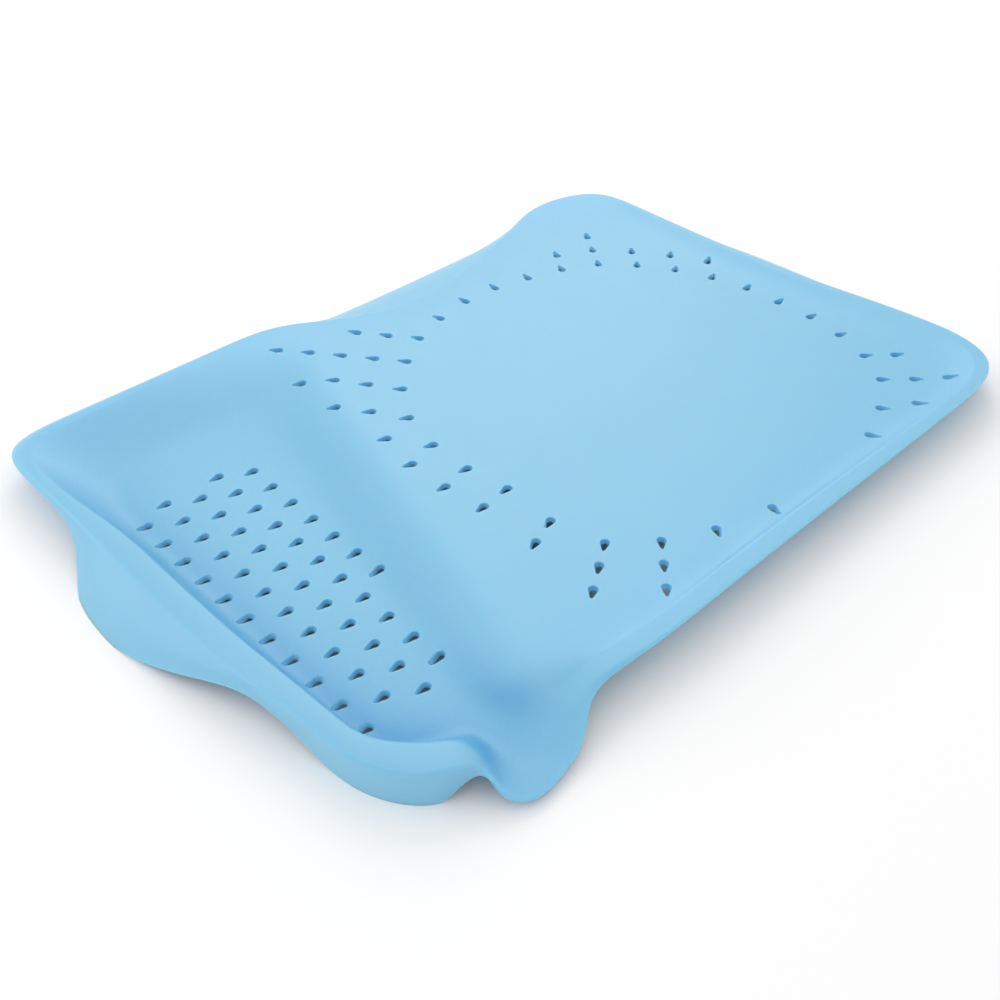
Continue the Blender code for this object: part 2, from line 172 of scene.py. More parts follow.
# How the skirt swells between the band and the free edge, and how hard the band's lines are
SKIRT_MID_REACH_SHARE = 0.55
SKIRT_MID_DROP_SHARE = 0.42
BAND_CREASE_SHARES = (0.70, 0.40)

# Shape of the hole rings: heading as a share of a turn from +X, radius, pitch, number of rings
RING_SHAPE_SHARES = (
    (0.000, 0.93, 0.90, 1),
    (0.129, 0.99, 0.95, 2),
    (0.149, 1.00, 1.00, 3),
    (0.204, 0.97, 0.95, 1),
    (0.304, 0.99, 0.95, 2),
    (0.329, 1.00, 0.97, 3),
    (0.357, 1.00, 1.00, 5),
    (0.384, 1.00, 1.00, 5),
    (0.418, 1.00, 0.95, 2),
    (0.448, 0.97, 0.97, 2),
    (0.516, 0.90, 0.97, 2),
    (0.557, 0.975, 0.90, 2),
    (0.591, 1.02, 0.86, 3),
    (0.622, 0.98, 0.84, 3),
    (0.656, 0.93, 0.79, 2),
    (0.699, 0.885, 0.79, 2),
    (0.779, 0.88, 0.90, 1),
    (0.857, 0.95, 1.00, 2),
    (0.883, 0.98, 1.00, 3),
    (0.904, 0.98, 0.95, 2),
    (1.000, 0.93, 0.90, 1),
)
RING_CORNER_SHARES = (0.149, 0.357, 0.519, 0.557, 0.591, 0.622, 0.656, 0.699, 0.779, 0.883)

# Side of the cage that the sheet's thickness lies on
SHEET_UNDER_CAGE = -1

# A drain hole's cutter: how far it runs under the sheet, in thicknesses, and the turns of its rounded
# upper edge, in degrees
HOLE_OVERRUN = 3
HOLE_EDGE_TURNS = (0, 22, 42, 60)

COLUMNS = len(COLUMN_SHARES) - 1
ROWS = len(ROW_SHARES) - 1

# How far red, green and blue light travel inside the plastic, as shares of the scatter depth
GLOW_REACH_SHARES = (0.4, 0.8, 1.0)
OPENNESS_SAMPLES = 8

# Octaves of noise in each of the finish's changes, from slow to fine
CLOUD_OCTAVES = 3
RIPPLE_OCTAVES = 1
GLOSS_OCTAVES = 4
GRAIN_OCTAVES = 2
GLOSS_PATCHES_PER_RIPPLE = 3

WHITE = (1, 1, 1, 1)
DOWN = Vector((0, 0, -1))


def length(name, description, default):
    """A length setting, shown in the scene's units."""
    return FloatProperty(name=name, description=description, default=default, min=0, unit="LENGTH",
                         precision=4)


def share(name, description, default):
    """A setting between nothing and the whole."""
    return FloatProperty(name=name, description=description, default=default, min=0, max=1)


def count(name, description, default, least=1, most=100):
    """A whole-number setting."""
    return IntProperty(name=name, description=description, default=default, min=least, max=most)


def turn(name, description, degrees):
    """An angle setting, with its default given in degrees."""
    return FloatProperty(name=name, description=description, default=math.radians(degrees), subtype="ANGLE")


def tint(name, description, default):
    """A colour setting, with its alpha."""
    return FloatVectorProperty(name=name, description=description, default=default, min=0, max=1, size=4,
                               subtype="COLOR")


def spot(name, description, default):
    """A setting for a place in the studio."""
    return FloatVectorProperty(name=name, description=description, default=default, unit="LENGTH",
                               subtype="TRANSLATION")


def power(name, description, default):
    """A setting for a lamp's power."""
    return FloatProperty(name=name, description=description, default=default, min=0, unit="POWER")


class DrainerTraySettings(PropertyGroup):
    """Sizes of the moulded tray."""

    rim_length: length("Rim Length", "Length of the rim's outline", 0.419)
    rim_width: length("Rim Width", "Width of the rim's outline", 0.300)
    rim_height: length("Rim Height", "Height of the rim over the surface it stands on", 0.018)
    sheet_thickness: length("Sheet Thickness", "Thickness of the moulded sheet", 0.0024)
    trough_depth: length("Trough Depth", "Drop from the rim to the trough's floor", 0.0118)
    upper_floor_fall: length("Upper Floor Fall", "How far the upper floor falls to the far end", 0.0045)
    rear_trough_radius: length("Rear Trough Corner", "Rim corner radius at the rear of the trough", 0.017)
    front_trough_radius: length("Front Trough Corner", "Rim corner radius beside the spout", 0.034)
    front_far_radius: length("Front Far Corner", "Rim corner radius at the far end's front", 0.034)
    rear_far_radius: length("Rear Far Corner", "Rim corner radius at the far end's rear", 0.040)
    trough_end_foot: length("Trough End Wall", "Run of the wall at the trough end", 0.018)
    far_end_foot: length("Far End Wall", "Run of the wall at the far end", 0.026)
    rear_foot: length("Rear Wall", "Run of the wall along the rear side", 0.036)
    front_foot: length("Front Wall", "Run of the wall along the front side", 0.0157)
    rear_trough_foot_radius: length("Rear Trough Floor Corner", "Floor corner radius, trough's rear", 0.036)
    front_trough_foot_radius: length("Front Trough Floor Corner", "Floor corner radius by the spout", 0.016)
    far_foot_radius: length("Far Floor Corners", "Floor corner radius at the far end", 0.024)
    foot_shift: length("Floor Edge Shift", "Largest shift of the floor's edge at the spout", 0.040)
    band_width: length("Band Width", "Width of the rim's flat band", 0.0145)
    edge_reach: length("Skirt Reach", "How far the skirt's lobes reach out", 0.020)
    apron_width: length("Apron Width", "Width of the lowered apron on the rear side", 0.030)
    smoothness: count("Smoothness", "Subdivisions of the cage", 2, most=4)
    edge_smoothness: count("Edge Smoothness", "Subdivisions that round the free edge", 1, most=2)
    sharp_angle: turn("Sharp Angle", "Turn over which an edge stays sharp, as at the feet", 65)


class DrainHoleSettings(PropertyGroup):
    """Sizes of the drop-shaped drain holes and of the pattern they stand in."""

    drop_length: length("Drop Length", "Length of a drain hole from blunt end to point", 0.0072)
    drop_width: length("Drop Width", "Width of a drain hole at its blunt end", 0.0040)
    tip_radius: length("Tip Radius", "Radius of a drain hole's point", 0.0006)
    drop_rounding: length("Hole Rounding", "Rounding of a drain hole's upper edge", 0.0006)
    drop_draft: length("Hole Draft", "How much narrower a drain hole is at the lower face", 0.0005)
    drop_steps: count("Drop Steps", "Steps round each end of a drop", 10, least=4)
    edge_margin: length("Edge Margin", "Least distance from a drain hole to the floor's edge", 0.0035)
    ring_centre_x_share: share("Ring Centre Along", "Where the rings centre, along the length", 0.632)
    ring_centre_y_share: share("Ring Centre Across", "Where the rings centre, across the width", 0.579)
    ring_radius: length("Ring Radius", "Radius of the inner ring of holes", 0.1242)
    ring_pitch: length("Ring Pitch", "Distance from ring to ring", 0.0173)
    ring_hole_pitch: length("Ring Hole Pitch", "Distance from hole to hole along a ring", 0.0240)
    ring_count: count("Rings", "Most rings of holes", 5)
    trough_columns: count("Trough Columns", "Columns of trough holes", 5)
    trough_column_pitch: length("Trough Column Pitch", "Distance between the columns", 0.0143)
    trough_hole_pitch: length("Trough Hole Pitch", "Distance from hole to hole in a column", 0.0158)
    trough_end_gap: length("Trough End Gap", "Gap from the end wall to the first column", 0.0082)
    trough_front_gap: length("Trough Front Gap", "Gap from the front wall to the first hole", 0.0416)
    trough_rear_gap: length("Trough Rear Gap", "Gap from the rear wall to the last hole", 0.040)
    trough_slope_gap: length("Trough Slope Gap", "Least gap between a hole and the slope", 0.0065)


class DrainerPlasticSettings(PropertyGroup):
    """Colour and surface of the moulded plastic."""

    colour: tint("Colour", "Colour of the plastic", (0.225, 0.53, 0.73, 1))
    # Painted shade: the colour that hollows, creases and the trough are darkened to, by how closed in they
    # are. The slow clouds also run to it at random.
    painted_shade_and_cloud_colour: tint("Painted Shade And Cloud Colour", "Shade painted into the hollows, and the colour the slow clouds run to", (0.045, 0.31, 0.62, 1))
    # Painted light: a pale colour painted on the drain holes' walls where the sheet is most closed in, in
    # place of light shining through them.
    painted_pit_light_colour: tint("Painted Pit Light", "Light painted on the drain holes' thin walls", (0.42, 0.80, 0.95, 1))
    # Reach and openness stops of the painted shade in the hollows and of the painted light in the drain
    # holes
    hollow_reach: length("Hollow Reach", "How far a wall still deepens the colour beside it", 0.05)
    hollow_start: share("Hollow Start", "Openness at which the colour starts to deepen", 0.98)
    hollow_full: share("Hollow Full", "Openness at which the colour is at its deepest", 0.76)
    pit_openness: share("Pit Openness", "Openness under which a wall is a drain hole's", 0.30)
    cloud_share: share("Cloud Strength", "How much deeper the slow clouds are", 0.06)
    roughness: share("Roughness", "Mean roughness of the satin finish", 0.40)
    roughness_spread: share("Roughness Spread", "How far the roughness wanders", 0.05)
    ior: FloatProperty(name="Index of Refraction", description="Of polypropylene", default=1.49, min=1)
    glow: share("Light in the Sheet", "Share of light that scatters inside the sheet", 0.6)
    glow_depth: length("Scatter Depth", "How far light travels inside the sheet", 0.0045)
    grain_size: length("Grain Size", "Size of the mould's fine texture", 0.0005)
    grain_depth: length("Grain Depth", "Depth of the mould's fine texture", 0.000012)
    ripple_size: length("Ripple Size", "Size of the slow ripples that moulding leaves", 0.045)
    ripple_depth: length("Ripple Depth", "Depth of the slow ripples", 0.00012)
    cloud_size: length("Cloud Size", "Size of the slow changes in colour and gloss", 0.09)


class DrainerStageSettings(PropertyGroup):
    """The floor, the studio lamps and the camera."""

    floor_colour: tint("Floor Colour", "Colour of the plain floor", (0.93, 0.93, 0.93, 1))
    floor_size: length("Floor Size", "Side of the floor", 8)
    floor_roughness: share("Floor Roughness", "Roughness of the floor", 0.7)
    sky_strength: FloatProperty(name="Room Light", description="Strength of the light from all around",
                                default=0.9, min=0)
    key_power: power("Key Softbox", "Power of the softbox beside the trough end", 6)
    key_size: length("Key Softbox Size", "Side of the key softbox", 1.2)
    key_place: spot("Key Softbox Place", "Where the key softbox stands", (-1.10, 1.05, 0.90))
    rear_power: power("Rear Softbox", "Power of the softbox behind the far corner", 6)
    rear_size: length("Rear Softbox Size", "Side of the rear softbox", 1.0)
    rear_place: spot("Rear Softbox Place", "Where the rear softbox stands", (0.90, 0.95, 1.10))
    camera_place: spot("Camera Place", "Where the camera stands", (-0.3341, -0.3256, 0.3559))
    camera_tilt: turn("Camera Tilt", "How far the camera looks down", 40.5)
    camera_heading: turn("Camera Heading", "Turn of the camera from looking along +Y", -43.85)
    camera_lens: FloatProperty(name="Camera Lens", description="Focal length", default=41.76, min=1,
                               unit="CAMERA")


def between(table, place):
    """Values of a table at a place, run straight between its two nearest rows."""
    for near, far in zip(table, table[1:]):
        if place <= far[0]:
            blend = (place - near[0]) / (far[0] - near[0])
            return [a + (b - a) * blend for a, b in zip(near[1:], far[1:])]
    return list(table[-1][1:])


def rounded(point, low, high, radii):
    """Moves a point of a rectangle's border onto its rounded corner."""
    for x_side, y_side, radius in radii:
        corner = Vector((low.x if x_side < 0 else high.x, low.y if y_side < 0 else high.y))
        centre = corner - radius * Vector((x_side, y_side))
        arm = point - centre
        if arm.x * x_side > 0 and arm.y * y_side > 0:
            return centre + radius * arm.normalized()
    return point


def border_point(low, high, radii, column, row):
    """The place of a border station of the cage on a rounded rectangle."""
    rear_share, front_share = COLUMN_SHARES[column]
    across = ROW_SHARES[row]
    along = rear_share + (front_share - rear_share) * across
    point = Vector((low.x + along * (high.x - low.x), high.y - across * (high.y - low.y)))
    return rounded(point, low, high, radii)


def station_at(column, row):
    """The rim's shape at a border place of the cage."""
    if column == 0:
        return Station(*between(TROUGH_END_SHARES, ROW_SHARES[row]))
    if column == COLUMNS:
        return Station(*between(FAR_END_SHARES, ROW_SHARES[row]))
    if row == 0:
        return Station(*between(REAR_SHARES, COLUMN_SHARES[column][0]))
    return Station(*between(FRONT_SHARES, COLUMN_SHARES[column][1]))


def rim_point(sizes, column, row):
    """The rim's outline at a border station."""
    half = Vector((sizes.rim_length / 2, sizes.rim_width / 2))
    radii = (
        (-1, 1, sizes.rear_trough_radius),
        (-1, -1, sizes.front_trough_radius),
        (1, -1, sizes.front_far_radius),
        (1, 1, sizes.rear_far_radius),
    )
    return border_point(-half, half, radii, column, row)


def foot_point(sizes, column, row):
    """The floor's outline at a border station."""
    half = Vector((sizes.rim_length / 2, sizes.rim_width / 2))
    low = Vector((sizes.trough_end_foot - half.x, sizes.front_foot - half.y))
    high = Vector((half.x - sizes.far_end_foot, half.y - sizes.rear_foot))
    radii = (
        (-1, 1, sizes.rear_trough_foot_radius),
        (-1, -1, sizes.front_trough_foot_radius),
        (1, -1, sizes.far_foot_radius),
        (1, 1, sizes.far_foot_radius),
    )
    station = station_at(column, row)
    shift = Vector((station.shift_x, station.shift_y))
    return border_point(low, high, radii, column, row) + shift * sizes.foot_shift


def floor_height(sizes, column, row):
    """Height of the floor: the sunk trough, the slope up to the upper floor, and its gentle fall."""
    if column <= SLOPE_FOOT_COLUMN:
        depth_share = 1.0
        if row < len(TROUGH_DEPTH_SHARES):
            depth_share = TROUGH_DEPTH_SHARES[row][column]
        if row == ROWS:
            depth_share = THROAT_DEPTH_SHARE
        return sizes.rim_height - sizes.trough_depth * depth_share
    fall_share = (column - SLOPE_TOP_COLUMN) / (COLUMNS - SLOPE_TOP_COLUMN)
    return sizes.rim_height - sizes.upper_floor_fall * fall_share


def raised(point, height):
    """A place in plan, lifted to a height."""
    return Vector((point.x, point.y, height))


def ring_points(sizes, column, row):
    """The rim's lines at a border station, from the floor's edge out to the sheet's free edge."""
    station = station_at(column, row)
    outline = rim_point(sizes, column, row)
    foot = foot_point(sizes, column, row)
    inward = (foot - outline).normalized()
    band_outer = outline + inward * station.inset * sizes.apron_width
    band_inner = band_outer + inward * station.band * sizes.band_width
    edge = band_outer - inward * station.reach * sizes.edge_reach
    skirt = band_outer.lerp(edge, SKIRT_MID_REACH_SHARE)
    band_height = sizes.rim_height - station.sink * sizes.trough_depth
    fall = station.drop * sizes.rim_height
    return (
        raised(foot, floor_height(sizes, column, row)),
        raised(band_inner, band_height),
        raised(band_outer, band_height),
        raised(skirt, band_height - fall * SKIRT_MID_DROP_SHARE),
        raised(edge, band_height - fall),
    )


def floor_point(sizes, column, row):
    """A place on the floor, spread evenly between its four sides."""
    across = ROW_SHARES[row]
    rear_share, front_share = COLUMN_SHARES[column]
    along = rear_share + (front_share - rear_share) * across
    ends = foot_point(sizes, 0, row).lerp(foot_point(sizes, COLUMNS, row), along)
    sides = foot_point(sizes, column, 0).lerp(foot_point(sizes, column, ROWS), across)
    rear_corners = foot_point(sizes, 0, 0).lerp(foot_point(sizes, COLUMNS, 0), along)
    front_corners = foot_point(sizes, 0, ROWS).lerp(foot_point(sizes, COLUMNS, ROWS), along)
    place = ends + sides - rear_corners.lerp(front_corners, across)
    return raised(place, floor_height(sizes, column, row))


def is_border(column, row):
    """True on the outline of the floor's grid."""
    return column in (0, COLUMNS) or row in (0, ROWS)


def tray_cage(sizes):
    """The coarse cage: a grid for the floor, with its border drawn out four times for the rim."""
    bm = bmesh.new()
    bmesh.ops.create_grid(bm, x_segments=COLUMNS, y_segments=ROWS, size=1)
    tag = bm.verts.layers.int.new("station")
    crease = bm.edges.layers.float.new("crease_edge")
    places = {}
    for vert in bm.verts:
        column = round((vert.co.x + 1) / 2 * COLUMNS)
        row = round((1 - vert.co.y) / 2 * ROWS)
        vert[tag] = column * len(ROW_SHARES) + row
        places[vert[tag]] = (column, row)
    for vert in bm.verts:
        column, row = places[vert[tag]]
        if is_border(column, row):
            vert.co = ring_points(sizes, column, row)[0]
        else:
            vert.co = floor_point(sizes, column, row)
    border = [edge for edge in bm.edges if edge.is_boundary]
    for line in range(1, len(ring_points(sizes, 0, 0))):
        drawn = bmesh.ops.extrude_edge_only(bm, edges=border)["geom"]
        border = [item for item in drawn if isinstance(item, bmesh.types.BMEdge) and item.is_boundary]
        for vert in {vert for edge in border for vert in edge.verts}:
            vert.co = ring_points(sizes, *places[vert[tag]])[line]
        if line <= len(BAND_CREASE_SHARES):
            for edge in border:
                sink = max(station_at(*places[vert[tag]]).sink for vert in edge.verts)
                edge[crease] = BAND_CREASE_SHARES[line - 1] * max(0, 1 - sink)
    bmesh.ops.recalc_face_normals(bm, faces=bm.faces)
    if sum(face.normal.z * face.calc_area() for face in bm.faces) < 0:
        bmesh.ops.reverse_faces(bm, faces=bm.faces)
    mesh = bpy.data.meshes.new("moulded_tray")
    bm.to_mesh(mesh)
    bm.free()
    return mesh


def column_line(sizes, column, y):
    """Where a line of the cage crosses the floor, at a distance y from the middle."""
    rear = foot_point(sizes, column, 0)
    front = foot_point(sizes, column, ROWS)
    return rear.lerp(front, (rear.y - y) / (rear.y - front.y)).x


def on_upper_floor(sizes, holes, place):
    """True where a drain hole fits on the upper floor, clear of the rim and of the trough."""
    near_edge = column_line(sizes, SLOPE_FOOT_COLUMN, place.y) + holes.edge_margin
    far_edge = sizes.rim_length / 2 - sizes.far_end_foot - holes.edge_margin
    front_edge = -sizes.rim_width / 2 + sizes.front_foot + holes.edge_margin
    inset = Station(*between(REAR_SHARES, place.x / sizes.rim_length + 0.5)).inset
    rear_edge = sizes.rim_width / 2 - inset * sizes.apron_width - holes.drop_length - holes.edge_margin
    return near_edge < place.x < far_edge and front_edge < place.y < rear_edge


def upper_floor_holes(sizes, holes):
    """Places and headings of the upper floor's drain holes, evenly filled in between ring corners."""
    centre = Vector((
        sizes.rim_length * (holes.ring_centre_x_share - 0.5),
        sizes.rim_width * (0.5 - holes.ring_centre_y_share),
    ))
    ends = RING_CORNER_SHARES[1:] + (RING_CORNER_SHARES[0] + 1,)
    found = []
    for ring in range(holes.ring_count):
        for start, end in zip(RING_CORNER_SHARES, ends):
            run = (end - start) * math.tau * (holes.ring_radius + ring * holes.ring_pitch)
            steps = max(1, round(run / holes.ring_hole_pitch))
            for step in range(steps):
                heading = (start + (end - start) * step / steps) % 1
                radius, pitch, rings = between(RING_SHAPE_SHARES, heading)
                reach = radius * holes.ring_radius + ring * pitch * holes.ring_pitch
                angle = heading * math.tau
                place = centre + reach * Vector((math.cos(angle), math.sin(angle)))
                if ring < round(rings) and on_upper_floor(sizes, holes, place):
                    found.append((place, angle))
    return found


def trough_holes(sizes, holes):
    """Places and headings of the trough's drain holes: staggered columns along the end wall."""
    front = -sizes.rim_width / 2 + sizes.front_foot + holes.trough_front_gap
    rear = sizes.rim_width / 2 - sizes.rear_foot - holes.trough_rear_gap
    first = sizes.trough_end_foot - sizes.rim_length / 2 + holes.trough_end_gap
    found = []
    for column in range(holes.trough_columns):
        x = first + column * holes.trough_column_pitch
        y = front + (column % 2) * holes.trough_hole_pitch / 2
        while y < rear:
            if x < column_line(sizes, SLOPE_FOOT_COLUMN, y) - holes.trough_slope_gap:
                found.append((Vector((x, y)), math.pi))
            y += holes.trough_hole_pitch
    return found


def drop_outline(holes, grown):
    """Points of a drop seen from above: a blunt end, and a point along +X, grown outwards a little."""
    blunt = holes.drop_width / 2
    ahead = holes.drop_length - blunt - holes.tip_radius
    opening = math.acos((blunt - holes.tip_radius) / ahead)
    ends = (
        (0, blunt, opening, math.tau - opening),
        (ahead, holes.tip_radius, -opening, opening),
    )
    points = []
    for centre, radius, start, end in ends:
        reach = radius + grown
        for step in range(holes.drop_steps + 1):
            angle = start + (end - start) * step / holes.drop_steps
            points.append(Vector((centre + reach * math.cos(angle), reach * math.sin(angle))))
    return points


def drop_profile(sizes, holes):
    """A drain hole's wall from below the sheet to above it: how far the drop grows, and the height."""
    profile = [
        (-holes.drop_draft, -HOLE_OVERRUN * sizes.sheet_thickness),
        (-holes.drop_draft, -sizes.sheet_thickness),
    ]
    for degrees in HOLE_EDGE_TURNS:
        angle = math.radians(degrees)
        grown = holes.drop_rounding * (1 - math.cos(angle))
        profile.append((grown, holes.drop_rounding * (math.sin(angle) - 1)))
    out, up = profile[-1]
    slope = math.radians(90 - HOLE_EDGE_TURNS[-1])
    profile.append((out + holes.drop_rounding * math.cos(slope), up + holes.drop_rounding * math.sin(slope)))
    profile.append((profile[-1][0], sizes.sheet_thickness))
    return profile


def add_drop(bm, sizes, holes, seat):
    """One drop-shaped cutter with a rounded upper edge, set on the sheet's upper face."""
    rings = []
    for grown, height in drop_profile(sizes, holes):
        rings.append([bm.verts.new(seat @ raised(point, height)) for point in drop_outline(holes, grown)])
    for lower, upper in zip(rings, rings[1:]):
        for here in range(len(lower)):
            ahead = (here + 1) % len(lower)
            bm.faces.new((lower[here], lower[ahead], upper[ahead], upper[here]))
    bm.faces.new(rings[0][::-1])
    bm.faces.new(rings[-1])


def hole_cutters(sizes, holes, tray):
    """Every drain hole's cutter, each seated square on the tray's upper face."""
    if holes.drop_draft >= holes.tip_radius:
        raise RuntimeError("a drain hole's draft has to be less than its tip radius")
    bpy.context.view_layer.update()
    surface = BVHTree.FromObject(tray, bpy.context.evaluated_depsgraph_get())
    bm = bmesh.new()
    for place, heading in upper_floor_holes(sizes, holes) + trough_holes(sizes, holes):
        above = raised(place, 2 * sizes.rim_height)
        seat_point, up, _, _ = surface.ray_cast(above, DOWN)
        if seat_point is None:
            raise RuntimeError("a drain hole misses the tray's floor")
        ahead = Vector((math.cos(heading), math.sin(heading), 0))
        ahead = (ahead - up * ahead.dot(up)).normalized()
        facing = Matrix((ahead, up.cross(ahead), up)).transposed()
        add_drop(bm, sizes, holes, Matrix.Translation(seat_point) @ facing.to_4x4())
    mesh = bpy.data.meshes.new("drain_hole_cutters")
    bm.to_mesh(mesh)
    bm.free()
    return mesh


def ground_cutter(sizes):
    """A block under the ground that trims the skirt's lobes to flat feet."""
    bm = bmesh.new()
    bmesh.ops.create_cube(bm, size=1)
    margin = 2 * sizes.rim_height + 2 * sizes.edge_reach
    block = Vector((sizes.rim_length + margin, sizes.rim_width + margin, sizes.rim_height))
    for vert in bm.verts:
        vert.co = Vector((vert.co.x * block.x, vert.co.y * block.y, (vert.co.z - 0.5) * block.z))
    mesh = bpy.data.meshes.new("ground_cutter")
    bm.to_mesh(mesh)
    bm.free()
    return mesh


def add_object(name, mesh):
    """Links a new object to the scene."""
    thing = bpy.data.objects.new(name, mesh)
    bpy.context.scene.collection.objects.link(thing)
    return thing


def cut_with(tray, cutter, name):
    """Cuts a hidden object out of the tray."""
    cutter.hide_render = True
    cutter.display_type = "WIRE"
    cut = tray.modifiers.new(name, "BOOLEAN")
    cut.operation = "DIFFERENCE"
    cut.solver = "EXACT"
    cut.object = cutter


def soften(tray, name, levels):
    """Rounds the tray's form by subdividing it."""
    smooth = tray.modifiers.new(name, "SUBSURF")
    smooth.levels = levels
    smooth.render_levels = levels


def settle(tray):
    """Applies the tray's modifiers, so that one plain mesh is left."""
    graph = bpy.context.evaluated_depsgraph_get()
    shaped = bpy.data.meshes.new_from_object(tray.evaluated_get(graph), depsgraph=graph)
    tray.modifiers.clear()
    tray.data = shaped


def middle_of(corners):
    """Middle of a box, seen from above."""
    low, high = corners
    return Vector(((low[0] + high[0]) / 2, (low[1] + high[1]) / 2, 0))


def centre_on(tray, box):
    """Slides the tray's mesh so that its middle, seen from above, is the middle of a box."""
    corners = [vert.co for vert in tray.data.vertices]
    low = [min(co[axis] for co in corners) for axis in range(3)]
    high = [max(co[axis] for co in corners) for axis in range(3)]
    tray.data.transform(Matrix.Translation(middle_of(box) - middle_of((low, high))))


def satin_plastic(plastic):
    """Sky-blue satin plastic: slow clouds in colour and gloss, ripples from moulding and a fine grain.

    Shade is painted into its hollows by how closed in they are, and a pale light is painted on the drain
    holes' walls.
    """
    material = bpy.data.materials.new("sky_blue_satin_plastic")
    material.use_nodes = True
    nodes, links = material.node_tree.nodes, material.node_tree.links
    shader = nodes["Principled BSDF"]
    shader.inputs["IOR"].default_value = plastic.ior
    shader.inputs["Subsurface Weight"].default_value = plastic.glow
    shader.inputs["Subsurface Radius"].default_value = GLOW_REACH_SHARES
    shader.inputs["Subsurface Scale"].default_value = plastic.glow_depth
    place = nodes.new("ShaderNodeTexCoord")

    def noise(size, octaves):
        """Soft noise of a given size, fixed to the tray."""
        texture = nodes.new("ShaderNodeTexNoise")
        texture.inputs["Scale"].default_value = 1 / size
        texture.inputs["Detail"].default_value = octaves
        links.new(place.outputs["Object"], texture.inputs["Vector"])
        return texture.outputs["Fac"]

    # Painted shade and light: the tray's own occlusion darkens the colour in its hollows and paints the
    # drain holes' walls pale, as if lit
    openness = nodes.new("ShaderNodeAmbientOcclusion")
    openness.only_local = True
    openness.samples = OPENNESS_SAMPLES
    openness.inputs["Distance"].default_value = plastic.hollow_reach
    painted_shade_and_pit_light = nodes.new("ShaderNodeValToRGB")
    stops = painted_shade_and_pit_light.color_ramp.elements
    stops[0].position, stops[0].color = plastic.pit_openness, plastic.painted_pit_light_colour
    stops[1].position, stops[1].color = plastic.hollow_start, plastic.colour
    stops.new(plastic.hollow_full).color = plastic.painted_shade_and_cloud_colour
    links.new(openness.outputs["AO"], painted_shade_and_pit_light.inputs["Fac"])
    depth = nodes.new("ShaderNodeMath")
    depth.operation = "MULTIPLY"
    depth.inputs[1].default_value = plastic.cloud_share
    links.new(noise(plastic.cloud_size, CLOUD_OCTAVES), depth.inputs[0])
    clouds = nodes.new("ShaderNodeMix")
    clouds.data_type = "RGBA"
    links.new(painted_shade_and_pit_light.outputs["Color"], clouds.inputs["A"])
    clouds.inputs["B"].default_value = plastic.painted_shade_and_cloud_colour
    links.new(depth.outputs["Value"], clouds.inputs["Factor"])
    links.new(clouds.outputs["Result"], shader.inputs["Base Color"])

    gloss = nodes.new("ShaderNodeMapRange")
    gloss.inputs["To Min"].default_value = plastic.roughness - plastic.roughness_spread
    gloss.inputs["To Max"].default_value = plastic.roughness + plastic.roughness_spread
    patches = noise(plastic.ripple_size / GLOSS_PATCHES_PER_RIPPLE, GLOSS_OCTAVES)
    links.new(patches, gloss.inputs["Value"])
    links.new(gloss.outputs["Result"], shader.inputs["Roughness"])

    ripples = nodes.new("ShaderNodeBump")
    ripples.inputs["Distance"].default_value = plastic.ripple_depth
    links.new(noise(plastic.ripple_size, RIPPLE_OCTAVES), ripples.inputs["Height"])
    grain = nodes.new("ShaderNodeBump")
    grain.inputs["Distance"].default_value = plastic.grain_depth
    links.new(noise(plastic.grain_size, GRAIN_OCTAVES), grain.inputs["Height"])
    links.new(ripples.outputs["Normal"], grain.inputs["Normal"])
    links.new(grain.outputs["Normal"], shader.inputs["Normal"])
    return material


def plain_floor(stage):
    """Pale matt paint for the floor."""
    material = bpy.data.materials.new("pale_floor")
    material.use_nodes = True
    shader = material.node_tree.nodes["Principled BSDF"]
    shader.inputs["Base Color"].default_value = stage.floor_colour
    shader.inputs["Roughness"].default_value = stage.floor_roughness
    return material


def add_softbox(name, watts, size, place):
    """A square lamp that faces the middle of the floor."""
    lamp = bpy.data.lights.new(name, "AREA")
    lamp.energy = watts
    lamp.size = size
    box = add_object(name, lamp)
    box.location = place
    box.rotation_mode = "QUATERNION"
    box.rotation_quaternion = (-Vector(place)).to_track_quat("-Z", "Y")


class DRAINER_OT_make_tray(Operator):
    """Build the moulded tray, with its drain holes and its satin plastic"""

    bl_idname = "drainer.make_tray"
    bl_label = "Make Tray"

    def execute(self, context):
        sizes = context.scene.drainer_tray
        holes = context.scene.drainer_holes
        tray = add_object("moulded_tray", tray_cage(sizes))
        soften(tray, "soft_form", sizes.smoothness)
        sheet = tray.modifiers.new("sheet", "SOLIDIFY")
        sheet.thickness = sizes.sheet_thickness
        sheet.offset = SHEET_UNDER_CAGE
        soften(tray, "round_edge", sizes.edge_smoothness)
        drops = add_object("drain_hole_cutters", hole_cutters(sizes, holes, tray))
        ground = add_object("ground_cutter", ground_cutter(sizes))
        cut_with(tray, ground, "flat_feet")
        cut_with(tray, drops, "drain_holes")
        context.view_layer.update()
        settle(tray)
        tray.data.shade_smooth()
        tray.data.set_sharp_from_angle(angle=sizes.sharp_angle)
        normals = tray.modifiers.new("even_normals", "WEIGHTED_NORMAL")
        normals.keep_sharp = True
        context.view_layer.update()
        settle(tray)
        bpy.data.objects.remove(drops)
        bpy.data.objects.remove(ground)
        centre_on(tray, CAD_BOX)
        tray.data.materials.clear()
        tray.data.materials.append(satin_plastic(context.scene.drainer_plastic))
        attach(tray, "root")
        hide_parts(CAD_NODE)
        return {"FINISHED"}


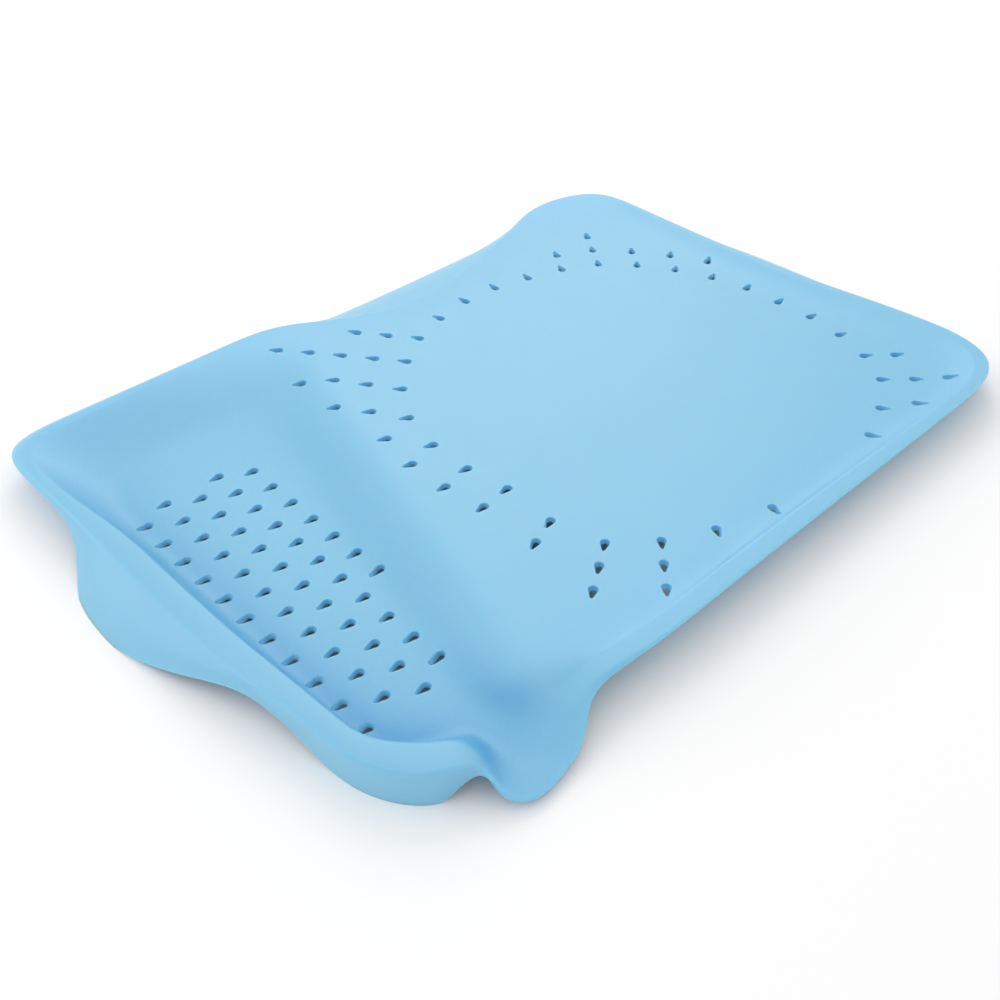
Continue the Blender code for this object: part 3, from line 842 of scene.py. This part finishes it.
class DRAINER_OT_make_stage(Operator):
    """Build the floor, the studio lamps, the room light and the camera"""

    bl_idname = "drainer.make_stage"
    bl_label = "Make Stage"

    def execute(self, context):
        stage = context.scene.drainer_stage
        bm = bmesh.new()
        bmesh.ops.create_grid(bm, x_segments=1, y_segments=1, size=stage.floor_size / 2)
        mesh = bpy.data.meshes.new("floor")
        bm.to_mesh(mesh)
        bm.free()
        mesh.materials.append(plain_floor(stage))
        add_object("floor", mesh)

        add_softbox("key_softbox", stage.key_power, stage.key_size, stage.key_place)
        add_softbox("rear_softbox", stage.rear_power, stage.rear_size, stage.rear_place)
        world = bpy.data.worlds.new("room_light")
        world.use_nodes = True
        sky = world.node_tree.nodes["Background"]
        sky.inputs["Color"].default_value = WHITE
        sky.inputs["Strength"].default_value = stage.sky_strength
        context.scene.world = world

        eye = bpy.data.cameras.new("camera")
        eye.lens = stage.camera_lens
        camera = add_object("camera", eye)
        camera.location = stage.camera_place
        camera.rotation_euler = (math.radians(90) - stage.camera_tilt, 0, stage.camera_heading)
        context.scene.camera = camera
        context.scene.view_settings.view_transform = "Standard"
        return {"FINISHED"}


class DRAINER_PT_sidebar(Panel):
    """Sizes, finish and studio of the dish drainer"""

    bl_label = "Dish Drainer"
    bl_space_type = "VIEW_3D"
    bl_region_type = "UI"
    bl_category = "Drainer"

    def draw(self, context):
        layout = self.layout
        layout.operator(DRAINER_OT_make_tray.bl_idname)
        for group in ("drainer_tray", "drainer_holes", "drainer_plastic"):
            self.draw_group(getattr(context.scene, group))
        layout.operator(DRAINER_OT_make_stage.bl_idname)
        self.draw_group(context.scene.drainer_stage)

    def draw_group(self, settings):
        column = self.layout.column(align=True)
        for name in settings.__annotations__:
            column.prop(settings, name)


SETTINGS = {
    "drainer_tray": DrainerTraySettings,
    "drainer_holes": DrainHoleSettings,
    "drainer_plastic": DrainerPlasticSettings,
    "drainer_stage": DrainerStageSettings,
}
CLASSES = (*SETTINGS.values(), DRAINER_OT_make_tray, DRAINER_OT_make_stage, DRAINER_PT_sidebar)


def register():
    """Adds the classes, and the settings to the scene."""
    for item in CLASSES:
        bpy.utils.register_class(item)
    for name, group in SETTINGS.items():
        setattr(bpy.types.Scene, name, PointerProperty(type=group))


def unregister():
    """Takes the settings and the classes away again."""
    for name in SETTINGS:
        delattr(bpy.types.Scene, name)
    for item in reversed(CLASSES):
        bpy.utils.unregister_class(item)


def main():
    """Builds the drainer and its stage."""
    register()
    bpy.ops.drainer.make_tray()
    bpy.ops.drainer.make_stage()


if __name__ == "__main__":
    main()
